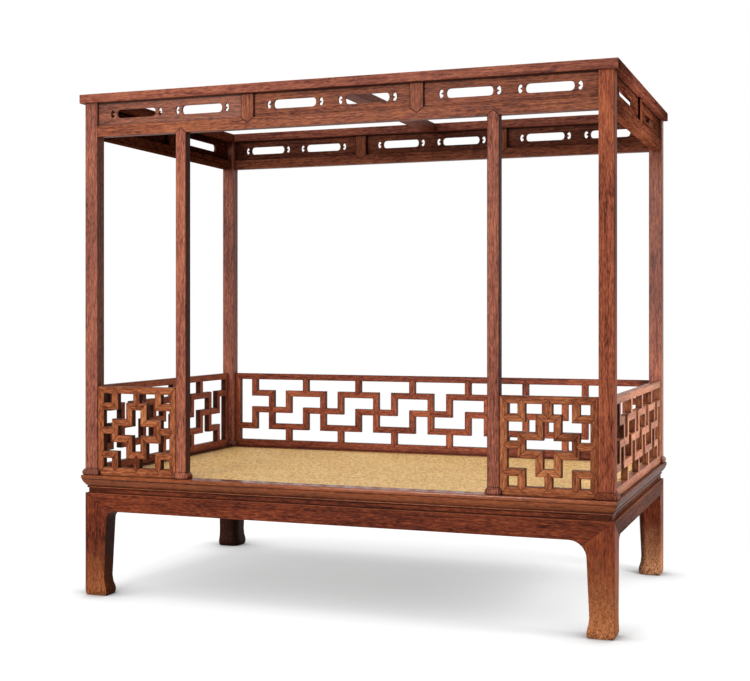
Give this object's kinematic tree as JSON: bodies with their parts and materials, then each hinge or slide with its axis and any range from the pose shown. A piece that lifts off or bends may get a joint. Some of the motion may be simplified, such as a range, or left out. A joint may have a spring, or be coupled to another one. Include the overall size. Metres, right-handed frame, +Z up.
{
  "type": "canopy bed",
  "caption": "Wooden canopy bed with posts at the corners and doorway, fretwork railings, a pierced frieze below an open canopy frame, a woven cane mat and hoofed legs.",
  "frame": {"origin": "centre of the bed's bounding box at floor level, on the soles of the feet", "axes": "+X along the bed to the right as seen from its open front, +Y from the open front to the back railing, +Z up"},
  "size_m": [2.1728, 1.3558, 2.034],
  "materials": {
    "post_wood": "waxed reddish-brown hardwood with fine grain",
    "canopy_wood": "waxed hardwood, a little drier and paler on top",
    "frieze_wood": "waxed reddish-brown hardwood",
    "fret_wood": "waxed hardwood, the warmest orange-brown of the bed",
    "seat_wood": "polished hardwood, glossy from use",
    "leg_wood": "waxed hardwood with worn, pale feet",
    "inner_wood": "unpolished hardwood hidden below the mat",
    "woven_cane": "woven split cane, straw-coloured, slightly glossy",
    "palm_webbing": "dull brown palm-fibre cord"
  },
  "bodies": {
    "root": {"apron_back": "leg_wood", "apron_front": "leg_wood", "apron_left": "leg_wood", "apron_right": "leg_wood", "cane_mat": "woven_cane", "canopy_cross_bar": "canopy_wood", "canopy_rail_back": "canopy_wood", "canopy_rail_front": "canopy_wood", "canopy_rail_left": "canopy_wood", "canopy_rail_right": "canopy_wood", "frieze_panel_back_1": "frieze_wood", "frieze_panel_back_2": "frieze_wood", "frieze_panel_back_3": "frieze_wood", "frieze_panel_front_1": "frieze_wood", "frieze_panel_front_2": "frieze_wood", "frieze_panel_front_3": "frieze_wood", "frieze_panel_left_1": "frieze_wood", "frieze_panel_left_2": "frieze_wood", "frieze_panel_right_1": "frieze_wood", "frieze_panel_right_2": "frieze_wood", "frieze_rail_back": "frieze_wood", "frieze_rail_front": "frieze_wood", "frieze_rail_left": "frieze_wood", "frieze_rail_right": "frieze_wood", "frieze_strut_back_1": "frieze_wood", "frieze_strut_back_2": "frieze_wood", "frieze_strut_front_1": "frieze_wood", "frieze_strut_front_2": "frieze_wood", "frieze_strut_left_1": "frieze_wood", "frieze_strut_right_1": "frieze_wood", "leg_back_left": "leg_wood", "leg_back_right": "leg_wood", "leg_front_left": "leg_wood", "leg_front_right": "leg_wood", "mat_brace_left": "inner_wood", "mat_brace_middle": "inner_wood", "mat_brace_right": "inner_wood", "palm_webbing": "palm_webbing", "post_back_left": "post_wood", "post_back_right": "post_wood", "post_door_left": "post_wood", "post_door_right": "post_wood", "post_front_left": "post_wood", "post_front_right": "post_wood", "railing_back_frame": "fret_wood", "railing_back_fret": "fret_wood", "railing_front_left_frame": "fret_wood", "railing_front_left_fret": "fret_wood", "railing_front_right_frame": "fret_wood", "railing_front_right_fret": "fret_wood", "railing_left_frame": "fret_wood", "railing_left_fret": "fret_wood", "railing_right_frame": "fret_wood", "railing_right_fret": "fret_wood", "seat_rail_back": "seat_wood", "seat_rail_front": "seat_wood", "seat_rail_left": "seat_wood", "seat_rail_right": "seat_wood"}
  },
  "joints": []
}
